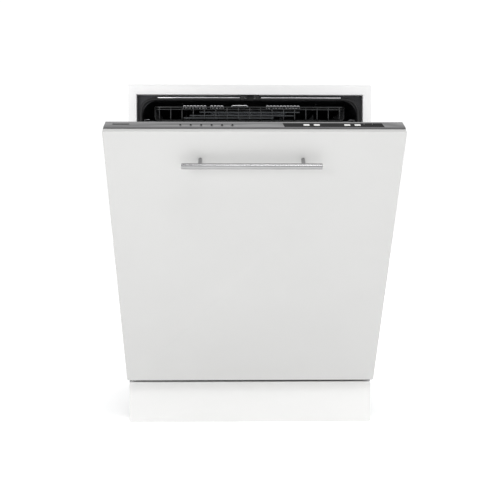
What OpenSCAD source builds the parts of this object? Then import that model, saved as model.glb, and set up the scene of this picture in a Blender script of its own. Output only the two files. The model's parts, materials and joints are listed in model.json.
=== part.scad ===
// Fully integrated dishwasher, with its kitchen door panel and the door ajar.
// Origin: on the floor, in the middle of the front frame's plane. +X right, +Y to the rear, +Z up.
// Door parts are drawn with the door shut and then swung about the hinge pins to door_ajar.

/* [Cabinet] */
// Overall width
body_w = 598; // [596:1:600]
// Overall height, feet included
body_h = 829; // [828:1:832]
// Depth behind the front frame
body_d = 546; // [545:1:560]
// Width of the white frame beside the opening
band_w = 20; // [18:1:20]
// Height of the white frame above the opening
band_h = 24; // [23:1:25]
// Depth of the frame's folded edge
frame_d = 20; // [20:1:21]
// Thickness of the cabinet's sheet steel
sheet = 1.2; // [1:0.1:1.2]
// Height of the plinth board
plinth_h = 100; // [90:1:101]
// How far the plinth board stands in front of the frame
plinth_out = 30; // [28:1:31]

/* [Tub] */
// Inside width of the tub
tub_w = 532; // [530:1:532]
// Height of the tub floor
tub_floor = 168; // [168:1:168]
// Height of the tub ceiling
tub_top = 792; // [791:1:792]
// Where the tub's rear wall stands
tub_back = 520; // [520:1:522]
// Radius of the tub's corners
tub_r = 38; // [36:1:38]

/* [Door] */
// How far the door stands open at rest, in degrees
door_ajar = 36.5; // [20:0.5:45]
// Width of the kitchen panel
panel_w = 597; // [596:1:598]
// Height of the kitchen panel
panel_h = 700; // [699:1:701]
// Thickness of the kitchen panel
panel_t = 16; // [15:1:16]
// Depth of the door behind the panel
door_d = 35; // [34:1:35]
// Width of the control strip and the door behind the panel
door_w = 594; // [592:1:594]
// Drop of the control strip towards its rear edge
strip_drop = 9.2; // [8:0.1:10]

/* [Handle] */
// Length of the handle bar
handle_l = 279; // [260:1:300]
// Diameter of the handle bar
handle_dia = 12; // [10:1:12]
// Distance between the handle posts
post_pitch = 205; // [192:1:224]
// Distance of the bar's centre from the panel
handle_out = 25.5; // [25:0.5:32]
// Offset of the handle from the middle of the panel
handle_x = -5.5; // [-6:0.5:0]

/* [Controls] */
// Distance between the keys of a pair
key_pitch = 20.5; // [16:0.5:22]
// Distance between the program lights
light_pitch = 20.6; // [16:0.1:21]

/* [Hidden] */
$fn = 64;
e = 0.05;                 // overshoot of a cut
fit = 0.06;               // radial clearance of a running fit

hw = body_w / 2;
open_hw = hw - band_w;    // half the frame's opening
open_top = body_h - band_h;
frame_low = 125;          // the frame's legs end above the hinges
tub_hw = tub_w / 2;
tub_low_r = 2;            // radius of the tub's lower corners
duct_space = 20;          // room over the tub's ceiling for the top spray arm's feed duct
duct_x = [-18, 18];       // the feed duct's width, up the rear wall and over the ceiling
duct_front = 504;         // its front face on the rear wall
duct_top = 803;
inlet_y = 512;            // middle of the pipe that feeds it through the tub's floor
inlet_r = 7;
post_r = 6;               // hollow post of the top spray arm
base_low = 38;            // underside of the base tray
base_top = 150;
base_wall = 3;

hinge_y = -40;            // hinge pins
hinge_z = 112;
pin_r = 4;
eye_r = 6.5;
bracket_x = 285.8;        // inner face of the hinge bracket
steel = 3;                // thickness of the hinge steel
door_front = hinge_y - 0.5;             // back face of the panel, door shut
door_back = door_front + door_d;        // back face of the door's rim
panel_y = door_front - panel_t;
panel_low = hinge_z + 7.5;
panel_top = panel_low + panel_h;
liner_y = hinge_y + tub_floor - hinge_z;    // level with the tub floor when the door is flat
liner_hw = 252;
liner_low = hinge_z;
liner_top = tub_top - 7;
strip_lip = 6;            // the strip's lip lies on the panel's top edge
strip_slope = atan(strip_drop / door_d);
window_s = [0.5, 27.5];   // the display window, measured down the strip's slope
window_front = [58.5, 256.5];
window_rear = [56, 254];
key_size = [12, 9];
key_s = 14;
key_x = [113 - key_pitch / 2, 113 + key_pitch / 2, 194 - key_pitch / 2, 194 + key_pitch / 2];
light_x = -147;
light_r = 1.8;
handle_z = panel_low + 636;
handle_y = panel_y - handle_out;
standoff_r = 4;

arm_y = 272;              // all three spray arms turn on this line
sump_y = 165;
sump_r = 63;
post_top = 190;
salt = [-180, 380];
spring = [283, 60];
spring_z = [300, 480];
feet = [[-255, 60], [255, 60], [0, 500]];

wire = 4;
upper = [[-232, 232], [36, 500], [512, 690]];
lower = [[-235, 235], [40, 500], [206, 390]];
tray = [[-240, 240], [40, 500], [745, 781]];
cutlery = [[-110, 110], [48, 118], [212, 330]];
upper_rail_z = [590, 614];
tray_rail_z = [734, 750];
wheel_r = 16.5;
wheel_x = [216, 226];
wheel_y = [99, 441];      // under the second and last but one of the basket's floor wires
axle_z = 186;
axle_r = 4;
tine_y = 330;
tine_z = 216;
shelf_x = -222;
shelf_z = 620;

module block(x, y, z) translate([x[0], y[0], z[0]]) cube([x[1] - x[0], y[1] - y[0], z[1] - z[0]]);

module both_sides() { children(); mirror([1, 0, 0]) children(); }

// An outline in X and Z as a plate from y towards the rear
module plate_y(y, t) translate([0, y + t, 0]) rotate([90, 0, 0]) linear_extrude(t) children();

// An outline in Y and Z as a plate from x towards the right
module plate_x(x, t) translate([x, 0, 0]) rotate([90, 0, 90]) linear_extrude(t) children();

module rod_x(x, y, z, r) translate([x[0], y, z]) rotate([0, 90, 0]) cylinder(r = r, h = x[1] - x[0]);
module rod_y(x, y, z, r) translate([x, y[0], z]) rotate([-90, 0, 0]) cylinder(r = r, h = y[1] - y[0]);
module rod_z(x, y, z, r) translate([x, y, z[0]]) cylinder(r = r, h = z[1] - z[0]);

module rounded(x, z, r) {
    translate([x[0] + r, z[0]]) square([x[1] - x[0] - 2 * r, z[1] - z[0]]);
    translate([x[0], z[0] + r]) square([x[1] - x[0], z[1] - z[0] - 2 * r]);
    for (cx = [x[0] + r, x[1] - r], cz = [z[0] + r, z[1] - r]) translate([cx, cz]) circle(r);
}

// A shut-door shape, swung open to where the door rests
module on_door() translate([0, hinge_y, hinge_z]) rotate([door_ajar, 0, 0])
    translate([0, -hinge_y, -hinge_z]) children();

// On the control strip's sloping top: X, the distance down the slope, and the height above it
module on_strip() translate([0, door_front, panel_top + 1]) rotate([-strip_slope, 0, 0]) children();

// A flat grid of square wires
module grid(w, h, across, up) difference() {
    square([w, h]);
    for (i = [0 : across - 1], j = [0 : up - 1])
        translate([wire + i * (w - wire) / across, wire + j * (h - wire) / up])
            square([(w - wire) / across - wire, (h - wire) / up - wire]);
}

// An open basket in the box b, of grids
module basket(b, cells) {
    w = b[0][1] - b[0][0];
    d = b[1][1] - b[1][0];
    h = b[2][1] - b[2][0];
    translate([b[0][0], b[1][0], b[2][0]]) {
        linear_extrude(wire) grid(w, d, cells[0], cells[1]);
        for (y = [wire, d]) translate([0, y, 0]) rotate([90, 0, 0])
            linear_extrude(wire) grid(w, h, cells[0], cells[2]);
        for (x = [0, w - wire]) translate([x, 0, 0]) rotate([90, 0, 90])
            linear_extrude(wire) grid(d, h, cells[1], cells[2]);
    }
}

// The span of the k-th of the wires that cut a basket's depth into n cells
function wire_y(b, k, n) = [for (side = [0, wire]) b[1][0] + k * (b[1][1] - b[1][0] - wire) / n + side];

// A C section that opens towards the middle, from x out to x + depth
module channel(x, depth, y, z, t) difference() {
    block([x, x + depth], y, z);
    block([x - e, x + depth - t], [y[0] - e, y[1] + e], [z[0] + t, z[1] - t]);
}

// A spray arm with a blind hub that turns on a post
module spray_arm(r, z, hub_r, hub_z, bore_r, bore_z, width) difference() {
    union() {
        block([-r + width / 2, r - width / 2], [arm_y - width / 2, arm_y + width / 2], z);
        for (x = [-r + width / 2, r - width / 2]) rod_z(x, arm_y, z, width / 2);
        rod_z(0, arm_y, hub_z, hub_r);
    }
    rod_z(0, arm_y, bore_z, bore_r);
}

/* ---------- cabinet ---------- */

module front_frame() color("whitesmoke") difference() {
    union() {
        plate_y(0, sheet) rounded([-hw, hw], [frame_low, body_h], 3);
        block([-open_hw - sheet, open_hw + sheet], [sheet - e, frame_d], [frame_low, open_top + sheet]);
    }
    block([-open_hw, open_hw], [-e, frame_d + e], [frame_low - e, open_top]);
}

module side_panels() color("silver") both_sides()
    block([hw - sheet, hw], [sheet, body_d - sheet], [base_low, body_h - 1]);

module rear_panel() color("silver") difference() {
    block([-hw, hw], [body_d - sheet, body_d], [base_low, body_h]);
    rod_y(-180, [body_d - 5, body_d + 5], 85, 16);
    rod_y(-90, [body_d - 5, body_d + 5], 75, 20);
    rod_y(220, [body_d - 5, body_d + 5], 80, 14);
}

module top_crossbars() color("silver") difference() {
    for (y = [[sheet, 50], [480, body_d - sheet]])
        block([-hw + sheet, hw - sheet], y, [body_h - sheet - 1, body_h - 1]);
    for (x = [-240, 240]) rod_z(x, 25, [body_h - 6, body_h + 2], 2.25);
}

module insulation_blanket() color("dimgray") difference() {
    block([-275, 275], [60, 515], [200, 822]);
    block([-tub_hw - sheet - 0.3, tub_hw + sheet + 0.3], [59, 516], [199, tub_top + duct_space + sheet + 0.5]);
    rod_x([-276, -260], 200, 450, 21);
}

module base_tray() color("black") difference() {
    union() {
        difference() {
            block([-hw + sheet, hw - sheet], [frame_d + 2, body_d - sheet], [base_low, base_top]);
            block([-hw + sheet + base_wall, hw - sheet - base_wall],
                  [frame_d + 2 + base_wall, body_d - sheet - base_wall], [base_low + base_wall, base_top + e]);
        }
        for (f = feet) rod_z(f[0], f[1], [base_low + 1, 62], 13);
    }
    for (f = feet) rod_z(f[0], f[1], [base_low - e, 58], 6 + fit);
    both_sides() block([bracket_x - 1, bracket_x + steel + 1], [frame_d, frame_d + 8], [56, base_top + e]);
    rod_y(-180, [body_d - 10, body_d + 5], 85, 16);
    rod_y(-90, [body_d - 10, body_d + 5], 75, 20);
    rod_y(220, [body_d - 10, body_d + 5], 80, 14);
}

module plinth() color("white") {
    plate_y(-plinth_out, 16) rounded([-296.5, 296.5], [0, plinth_h], 5);
    both_sides() block([270, 285], [-plinth_out + 16 - e, frame_d + 2], [0, 80]);
}

module foot(n) color("dimgray") {
    rod_z(feet[n][0], feet[n][1], [0, 9], 22);
    rod_z(feet[n][0], feet[n][1], [9 - e, 56], 6);
}
module foot_front_left() foot(0);
module foot_front_right() foot(1);
module foot_rear() foot(2);

/* ---------- tub ---------- */

// The tub's section, grown outwards
module tub_outline(grow) {
    x = [-tub_hw - grow, tub_hw + grow];
    rounded(x, [tub_floor - grow, tub_top + grow], tub_r + grow);
    rounded(x, [tub_floor - grow, tub_floor + 3 * tub_r], tub_low_r + grow);
}

module tub() color("silver") difference() {
    union() {
        plate_y(frame_d, sheet) rounded([-286, 286], [152, 812], 4);
        plate_y(frame_d, tub_back - frame_d + sheet) tub_outline(sheet);
    }
    plate_y(frame_d - e, tub_back - frame_d + e) tub_outline(0);
    rod_z(0, arm_y, [tub_top - 5, tub_top + 5], post_r);
    block(duct_x, [duct_front, tub_back], [tub_top - 1, tub_top + 5]);
    rod_z(0, sump_y, [tub_floor - 5, tub_floor + 5], 60);
    rod_z(0, arm_y, [tub_floor - 5, tub_floor + 5], 12);
    rod_z(0, inlet_y, [tub_floor - 5, tub_floor + 5], inlet_r);
    rod_z(salt[0], salt[1], [tub_floor - 5, tub_floor + 5], 24);
    rod_x([-tub_hw - 5, -tub_hw + 5], 200, 450, 20);
}

// Round the top and sides of the mouth; the door's own seal closes the bottom
module tub_gasket() color("black") difference() {
    plate_y(frame_d - 8, 8) rounded([-tub_hw - 9, tub_hw + 9], [160, tub_top + 8], tub_r + 9);
    plate_y(frame_d - 9, 10) tub_outline(0);
    block([-24, 24], [frame_d - 9, frame_d + 1], [tub_top - 2, tub_top + 20]);
    block([-hw, hw], [frame_d - 9, frame_d + 1], [150, tub_floor + 14]);
}

module latch_striker() color("dimgray") difference() {
    block([-23, 23], [5, frame_d], [792.5, open_top - 0.3]);
    block([-9, 9], [4, 16], [790, 802.5]);
}

module sump() color("dimgray") {
    difference() {
        union() {
            rod_z(0, sump_y, [95, tub_floor - sheet], sump_r);
            rod_z(0, sump_y, [162, tub_floor - sheet], 80);
            block([-16, 16], [sump_y + 50, 303], [120, 160]);
            rod_z(0, arm_y, [125, post_top], 12);
        }
        rod_z(0, sump_y, [98, tub_floor], 60);
        rod_z(0, arm_y, [150, post_top + e], 9);
    }
}

module flat_filter() color("gray") difference() {
    rod_z(0, sump_y, [tub_floor - 4, tub_floor], 59.5);
    rod_z(0, sump_y, [tub_floor - 5, tub_floor + 1], 37);
}

module filter_cylinder() color("lightgray") difference() {
    union() {
        rod_z(0, sump_y, [104, 174], 36.5);
        rod_z(0, sump_y, [tub_floor + 0.3, 172], 42);
    }
    rod_z(0, sump_y, [107, 175], 33.5);
}

module circulation_pump() color("gray") difference() {
    union() {
        rod_x([75, 190], 330, 92, 40);
        rod_x([60, 80], 330, 92, 46);
        rod_y(67, [sump_y, 330], 112, 13);
        rod_x([40, 67], sump_y, 112, 13);
        translate([67, sump_y, 112]) sphere(13);
    }
    rod_z(0, sump_y, [90, 170], sump_r);
}

module drain_pump() color("dimgray") difference() {
    union() {
        rod_y(-90, [120, 200], 75, 26);
        rod_x([-90, -50], sump_y, 108, 11);
        rod_z(-90, sump_y, [75, 119], 11);
        rod_y(-90, [199, body_d + 1], 75, 9);
        rod_y(-90, [body_d + 1, body_d + 31], 75, 10.5);
    }
    rod_z(0, sump_y, [90, 170], sump_r);
}

module water_softener() color("white") difference() {
    union() {
        block([-270, -110], [270, 430], [45, 155]);
        rod_z(salt[0], salt[1], [154, tub_floor - sheet], 30);
    }
    rod_z(salt[0], salt[1], [60, tub_floor], 24);
}

module salt_cap() color("white") {
    rod_z(salt[0], salt[1], [150, tub_floor + 0.3], 24 - fit);
    rod_z(salt[0], salt[1], [tub_floor + 0.3, tub_floor + 6], 28);
    block([salt[0] - 20, salt[0] + 20], [salt[1] - 3, salt[1] + 3], [tub_floor + 5.9, tub_floor + 10]);
}

module inlet_valve() color("white") {
    block([-205, -155], [500, body_d - sheet - base_wall - 0.2], [58, 112]);
    rod_y(-180, [body_d - sheet - base_wall - 0.25, body_d], 85, 11);
    rod_y(-180, [body_d, body_d + 16], 85, 13.2);
    rod_z(-180, 512, [111.9, 145], 14);
}

module air_break_unit() color("white") {
    block([-296, -276], [120, 400], [250, 650]);
    rod_x([-276 - e, -tub_hw - sheet], 200, 450, 20.9);
}

module terminal_box() color("gray") difference() {
    union() {
        block([180, 260], [485, body_d - sheet - base_wall - 0.2], [48, 115]);
        rod_y(220, [body_d - sheet - base_wall - 0.25, body_d + 10], 80, 11);
    }
    block([183, 257], [488, body_d - 8], [51, 112]);
    rod_y(220, [body_d - 15, body_d + 11], 80, 4.5);
}

module spray_feed_pipe() color("white") {
    block(duct_x, [duct_front, tub_back], [tub_floor, duct_top]);
    block(duct_x, [arm_y - 10, duct_front + e], [tub_top + sheet + 1, duct_top]);
    rod_z(0, arm_y, [tub_top - 5, tub_top + sheet + 1 + e], post_r);
    rod_y(0, [490, duct_front + e], 505, 6);
    rod_z(0, inlet_y, [132, tub_floor + e], inlet_r);
    rod_y(0, [303, inlet_y], 139, inlet_r);
}

/* ---------- hinges and door springs ---------- */

// Each bracket with the pin that is riveted into it and the eye that holds the spring's hook
module hinge_brackets() color("silver") both_sides() {
    rod_x([bracket_x, bracket_x + steel], hinge_y, hinge_z, eye_r);
    block([bracket_x, bracket_x + steel], [hinge_y, 120], [hinge_z - eye_r, hinge_z + eye_r]);
    block([bracket_x, bracket_x + steel], [frame_d + 1, 120], [62, hinge_z]);
    block([bracket_x - 8, bracket_x + e], [52, 68], [78, 96]);
    rod_x([bracket_x, bracket_x + 2 * steel + 2.5], hinge_y, hinge_z, pin_r);
}

module door_springs() color("gray") both_sides() difference() {
    rod_z(spring[0], spring[1], spring_z, 6.5);
    rod_z(spring[0], spring[1], [spring_z[0] - 1, spring_z[1] + 1], 4.5);
}

module spring_hooks() color("gray") both_sides() {
    rod_z(spring[0], spring[1], [spring_z[0] - 12, spring_z[0]], 6);
    rod_z(spring[0], spring[1], [122, spring_z[0] - 12 + e], 1.5);
}

module hinge_arms() color("silver") on_door() both_sides() difference() {
    x = bracket_x + steel + 1;
    union() {
        rod_x([x, x + steel], hinge_y, hinge_z, eye_r);
        block([x, x + steel], [hinge_y + 2, hinge_y + 12], [hinge_z, hinge_z + 190]);
    }
    rod_x([x - 1, x + steel + 1], hinge_y, hinge_z, pin_r + fit);
}

/* ---------- rails, baskets and spray arms ---------- */

module rail_channels() color("silver") both_sides() {
    channel(252, tub_hw - 252, [60, 500], upper_rail_z, 2);
    channel(252, tub_hw - 252, [60, 500], tray_rail_z, 2);
}

module slide_rails() color("silver") both_sides()
    channel(245, 17, [58, 498], [upper_rail_z[0] + 3, upper_rail_z[1] - 3], 2);

module lower_spray_arm() color("gray")
    spray_arm(225, [184, 195], 25, [178, 200], 12 + fit, [177, post_top + 2], 46);

module ceiling_spray_arm() color("gray")
    spray_arm(105, [783.6, 789.4], 16, [782.6, 790.6], post_r + fit, [785, 792], 28);

module upper_spray_arm() color("gray")
    spray_arm(222, [484, 493], 20, [482, 495], 8 + fit, [486, 496], 42);

module upper_basket() color("lightgray") {
    basket(upper, [8, 8, 3]);
    block([-14, 14], [arm_y - 14, 488], [499, upper[2][0] + 1]);
    rod_z(0, arm_y, [487, 499.5], 8);
    for (k = [2, 6]) both_sides()
        block([upper[0][1] - wire + 0.5, 247], wire_y(upper, k, 8) + [-4, 4],
              [upper_rail_z[0] + 6, upper_rail_z[1] - 6]);
    both_sides() block([247 - e, 258], [80, 480], [upper_rail_z[0] + 6, upper_rail_z[1] - 6]);
}

module cup_shelf() color("lightgray") {
    rod_y(shelf_x, [80, 440], shelf_z, 3);
    for (y = [90 : 34 : 430]) block([shelf_x, shelf_x + 92], [y, y + 3], [shelf_z - 1.5, shelf_z + 1.5]);
    block([shelf_x + 89, shelf_x + 92], [80, 440], [shelf_z - 1.5, shelf_z + 1.5]);
}

module cutlery_tray() color("lightgray") translate([tray[0][0], tray[1][0], tray[2][0]])
    linear_extrude(wire) grid(tray[0][1] - tray[0][0], tray[1][1] - tray[1][0], 12, 10);

// The tray's four walls stand on its floor, and the side walls have the runners
module tray_sides() color("lightgray") {
    floor_z = tray[2][0] + wire;
    tall = tray[2][1] - floor_z;
    end_w = tray[0][1] - tray[0][0] - 2 * wire - 2 * fit;
    runner_y = [tray[1][0] + 24, tray[1][1]];
    for (y = [tray[1][0] + wire, tray[1][1]]) translate([-end_w / 2, y, floor_z]) rotate([90, 0, 0])
        linear_extrude(wire) grid(end_w, tall, 12, 1);
    both_sides() {
        translate([tray[0][1] - wire, tray[1][0], floor_z]) rotate([90, 0, 90])
            linear_extrude(wire) grid(tray[1][1] - tray[1][0], tall, 10, 1);
        block([tray[0][1], 260], runner_y, [tray_rail_z[0] + 3, tray_rail_z[1] - 3]);
        block([tray[0][1], tray[0][1] + 3], runner_y, [tray_rail_z[0] + 3, floor_z + wire]);
        block([tray[0][1] - wire, tray[0][1] + 3], runner_y, [floor_z, floor_z + wire]);
    }
}

module lower_basket() color("lightgray") {
    basket(lower, [8, 8, 3]);
    for (row_y = [170, 215, 260]) {
        block(lower[0], [row_y - 2, row_y + 2], [lower[2][0], lower[2][0] + wire]);
        for (x = [-175 : 50 : 175]) rod_z(x, row_y, [lower[2][0] + 2, 290], 2);
    }
}

module wheel_brackets() color("gray") both_sides() for (y = wheel_y) {
    block([wheel_x[0] - 5, wheel_x[0] - 1], [y - 8, y + 8], [axle_z - 7, lower[2][0]]);
    rod_x([wheel_x[0] - 2, wheel_x[1] + 2], y, axle_z, axle_r);
}

module wheels(y) color("gray") both_sides() difference() {
    rod_x(wheel_x, y, axle_z, wheel_r);
    rod_x([wheel_x[0] - 1, wheel_x[1] + 1], y, axle_z, axle_r + fit);
}
module wheels_front() wheels(wheel_y[0]);
module wheels_rear() wheels(wheel_y[1]);

module folding_tines() color("lightgray") {
    rod_x([-190, 190], tine_y, tine_z, 3);
    for (x = [-175 : 35 : 175]) rod_z(x, tine_y, [tine_z, tine_z + 74], 2);
}

module cutlery_basket() color("gray") difference() {
    block(cutlery[0], cutlery[1], cutlery[2]);
    for (i = [0 : 3]) block([cutlery[0][0] + 3 + i * 54.25, cutlery[0][0] + 54.25 + i * 54.25],
        [cutlery[1][0] + 3, cutlery[1][1] - 3], [cutlery[2][0] + 3, cutlery[2][1] + e]);
}

/* ---------- door ---------- */

module front_panel() color("white") on_door() difference() {
    plate_y(panel_y, panel_t) rounded([-panel_w / 2, panel_w / 2], [panel_low, panel_top], 4);
    for (side = [-1, 1])
        rod_y(handle_x + side * post_pitch / 2, [panel_y - 1, door_front + 1], handle_z, 2.5);
}

module posts() for (side = [-1, 1])
    rod_y(handle_x + side * post_pitch / 2, [handle_y + 3.5, panel_y], handle_z, standoff_r);

module handle_bar() color("silver") on_door() difference() {
    rod_x([handle_x - handle_l / 2, handle_x + handle_l / 2], handle_y, handle_z, handle_dia / 2);
    posts();
}

module handle_posts() color("silver") on_door() posts();

module outer_door_plate() color("silver") on_door() {
    block([-door_w / 2, door_w / 2], [door_front, door_front + 1], [hinge_z + 10, panel_top - 50.5]);
    both_sides() block([door_w / 2 - 1, door_w / 2], [door_front, door_back - 1], [hinge_z + 10, panel_top - 50.5]);
}

module inner_door_liner() color("silver") on_door() difference() {
    union() {
        block([-door_w / 2, door_w / 2], [door_back - 1, door_back], [hinge_z + 10, panel_top - 24.5]);
        plate_y(door_back - 1, liner_y - door_back + 1)
            rounded([-liner_hw, liner_hw], [liner_low, liner_top], 30);
    }
    plate_y(door_back - 2, liner_y - door_back + 1)
        rounded([-liner_hw + 1, liner_hw - 1], [liner_low + 1, liner_top - 1], 29);
    block([-95, 95], [door_back - 3, liner_y + 1], [430, 570]);
}

module control_fascia() color("darkgray") on_door() difference() {
    outside = [[door_front, panel_top - 49.5], [door_front, panel_top], [door_front - strip_lip, panel_top],
               [door_front - strip_lip, panel_top + 1], [door_front, panel_top + 1],
               [door_back, panel_top + 1 - strip_drop], [door_back, panel_top - 23.5]];
    inside = [[door_front + 1.5, panel_top - 60], [door_front + 1.5, panel_top - 0.9],
              [door_back - 1.5, panel_top - 0.6 - strip_drop], [door_back - 1.5, panel_top - 60]];
    plate_x(-door_w / 2, door_w) polygon(outside);
    plate_x(-door_w / 2 + 1.5, door_w - 3) polygon(inside);
    on_strip() translate([0, 0, -3]) linear_extrude(4) window_outline();
    for (i = [0 : 5]) on_strip() rod_z(light_x + i * light_pitch, key_s, [-4, 2], light_r);
    block([-9, 9], [door_back - 4, door_back + 1], [panel_top - 25, 806]);
}

module window_outline() polygon([[window_front[0], window_s[0]], [window_front[1], window_s[0]],
                                 [window_rear[1], window_s[1]], [window_rear[0], window_s[1]]]);

// The window over the display, and the board that hangs below the strip on four posts
module display_module() color("black") on_door() on_strip() {
    difference() {
        translate([0, 0, -1.4]) linear_extrude(1.4) window_outline();
        for (x = key_x) translate([x, key_s, -1]) cube([key_size[0] + 0.3, key_size[1] + 0.3, 6], center = true);
    }
    block([30, 270], [6, 29], [-9, -7]);
    for (x = [40, 264], s = [10, 25]) rod_z(x, s, [-7.05, -1.9], 2);
}

module key(n) color("white") on_door() on_strip()
    translate([key_x[n] - key_size[0] / 2, key_s - key_size[1] / 2, -5]) cube([key_size[0], key_size[1], 5.8]);
module key_1() key(0);
module key_2() key(1);
module key_3() key(2);
module key_4() key(3);

module indicator_lights() color("darkslategray") on_door() on_strip()
    for (i = [0 : 5]) rod_z(light_x + i * light_pitch, key_s, [-4, 0.2], light_r);

module latch_hook() color("silver") on_door() {
    rod_x([-11, 11], -14, 798, 3);
    block([-5, 5], [-14, 12], [796.5, 799.5]);
    block([-5, 5], [9, 12], [799.4, 801]);
}

module detergent_dispenser() color("lightgray") on_door() difference() {
    union() {
        block([-94.8, 94.8], [-30, liner_y], [430.2, 569.8]);
        block([-100, 100], [liner_y, liner_y + 1.5], [425, 575]);
    }
    block([-80, -5], [-12, liner_y + 2], [452, 552]);
    rod_y(50, [2, liner_y + 2], 500, 14 + fit);
}

module detergent_lid() color("gray") on_door() {
    block([-83, -2], [liner_y + 1.8, liner_y + 4.3], [446, 556]);
    rod_x([-80, -5], liner_y + 4.3, 445, 2.4);
}

module rinse_aid_cap() color("steelblue") on_door() {
    rod_y(50, [4, liner_y + 1.8], 500, 14);
    rod_y(50, [liner_y + 1.75, liner_y + 5], 500, 20);
    block([32, 68], [liner_y + 4.9, liner_y + 8], [497, 503]);
}

module door_bottom_seal() color("black") on_door()
    block([-250, 250], [2, 10], [hinge_z - 8, hinge_z]);

front_frame();
side_panels();
rear_panel();
top_crossbars();
insulation_blanket();
base_tray();
plinth();
foot_front_left();
foot_front_right();
foot_rear();
tub();
tub_gasket();
latch_striker();
sump();
flat_filter();
filter_cylinder();
circulation_pump();
drain_pump();
water_softener();
salt_cap();
inlet_valve();
air_break_unit();
terminal_box();
spray_feed_pipe();
hinge_brackets();
door_springs();
spring_hooks();
rail_channels();
slide_rails();
lower_spray_arm();
ceiling_spray_arm();
upper_basket();
upper_spray_arm();
cup_shelf();
cutlery_tray();
tray_sides();
lower_basket();
wheel_brackets();
wheels_front();
wheels_rear();
folding_tines();
cutlery_basket();
front_panel();
handle_bar();
handle_posts();
outer_door_plate();
inner_door_liner();
control_fascia();
display_module();
key_1();
key_2();
key_3();
key_4();
indicator_lights();
latch_hook();
detergent_dispenser();
detergent_lid();
rinse_aid_cap();
door_bottom_seal();
hinge_arms();
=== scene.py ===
"""Looks of a fully integrated dishwasher with its white kitchen panel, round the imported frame.

Sizes are in metres in the frame of the CAD part: origin on the floor in the middle of the front
frame's plane, X to the right, Y to the rear, Z up. Door parts are made as if the door were shut and
are then swung to where it rests.
"""
import json
import math

import bmesh
import bpy
from mathutils import Matrix, Vector, noise

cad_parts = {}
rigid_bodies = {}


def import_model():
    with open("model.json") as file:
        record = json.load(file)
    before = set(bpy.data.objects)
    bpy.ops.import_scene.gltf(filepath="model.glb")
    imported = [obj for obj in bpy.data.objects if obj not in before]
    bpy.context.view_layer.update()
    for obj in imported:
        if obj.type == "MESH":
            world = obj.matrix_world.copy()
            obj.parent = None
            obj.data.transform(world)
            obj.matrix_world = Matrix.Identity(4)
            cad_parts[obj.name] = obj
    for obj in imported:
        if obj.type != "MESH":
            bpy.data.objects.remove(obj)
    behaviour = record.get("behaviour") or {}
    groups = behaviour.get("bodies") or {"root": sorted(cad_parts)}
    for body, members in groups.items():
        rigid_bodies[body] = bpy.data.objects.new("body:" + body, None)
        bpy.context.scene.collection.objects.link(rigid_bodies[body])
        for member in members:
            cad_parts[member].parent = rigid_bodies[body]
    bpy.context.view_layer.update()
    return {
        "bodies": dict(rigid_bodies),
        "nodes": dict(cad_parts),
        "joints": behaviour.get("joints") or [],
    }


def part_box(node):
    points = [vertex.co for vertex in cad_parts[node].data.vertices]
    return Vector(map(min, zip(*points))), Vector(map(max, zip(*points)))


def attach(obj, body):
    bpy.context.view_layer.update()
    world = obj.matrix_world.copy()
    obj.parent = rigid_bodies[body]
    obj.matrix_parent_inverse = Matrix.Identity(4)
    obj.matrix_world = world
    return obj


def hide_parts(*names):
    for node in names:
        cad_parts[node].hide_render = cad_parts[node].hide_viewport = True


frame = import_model()

# ---------------------------------------------------------------- the door's own coordinates

hinge = next(j for j in frame["joints"] if j["name"] == "door_hinge")
pin = Vector(hinge["pos_m"])
SWING = (Matrix.Translation(pin) @ Matrix.Rotation(-math.radians(hinge["range_deg"][0]), 4, "X")
         @ Matrix.Translation(-pin))


def shut_box(node):
    """The lowest and highest corner of a door node with the door shut."""
    back = SWING.inverted()
    points = [back @ v.co for v in frame["nodes"][node].data.vertices]
    return (Vector(min(p[i] for p in points) for i in range(3)),
            Vector(max(p[i] for p in points) for i in range(3)))


panel_low, panel_high = shut_box("front_panel")
# The control strip's face: X along it, Y across it from its front edge, Z out of it.
STRIP_FALL, STRIP_DEPTH, STRIP_RISE = 0.0092, 0.035, 0.001
STRIP = (SWING @ Matrix.Translation((0, panel_high.y, panel_high.z + STRIP_RISE))
         @ Matrix.Rotation(-math.atan2(STRIP_FALL, STRIP_DEPTH), 4, "X"))

# ---------------------------------------------------------------- materials


def tone(colour):
    """An sRGB hex colour as linear RGBA."""
    parts = [int(colour[i:i + 2], 16) / 255 for i in (1, 3, 5)]
    return [c / 12.92 if c <= 0.04045 else ((c + 0.055) / 1.055) ** 2.4 for c in parts] + [1.0]


def node(tree, kind, settings=None, inputs=None):
    """Adds a node with its settings, its values and its links."""
    made = tree.nodes.new(kind)
    for name, value in (settings or {}).items():
        setattr(made, name, value)
    for socket, value in (inputs or {}).items():
        if isinstance(value, bpy.types.NodeSocket):
            tree.links.new(value, made.inputs[socket])
        else:
            made.inputs[socket].default_value = value
    return made


def start(name):
    """A new material with its empty tree and its Object coordinates."""
    finish = bpy.data.materials.new(name)
    finish.use_nodes = True
    tree = finish.node_tree
    tree.nodes.clear()
    return finish, tree, node(tree, "ShaderNodeTexCoord").outputs["Object"]


def skinned(finish, inputs):
    """Ends a material with its surface shader."""
    tree = finish.node_tree
    skin = node(tree, "ShaderNodeBsdfPrincipled", None, inputs)
    node(tree, "ShaderNodeOutputMaterial", None, {"Surface": skin.outputs[0]})
    return finish


def spread(tree, low, high, source):
    """A colour or a value that runs from low to high with source."""
    colour = isinstance(low, list)             # a mix node's colour inputs are 6 and 7
    mixed = node(tree, "ShaderNodeMix", {"data_type": "RGBA" if colour else "FLOAT"},
                 {0: source, (6 if colour else 2): low, (7 if colour else 3): high})
    return mixed.outputs[2 if colour else 0]


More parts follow.
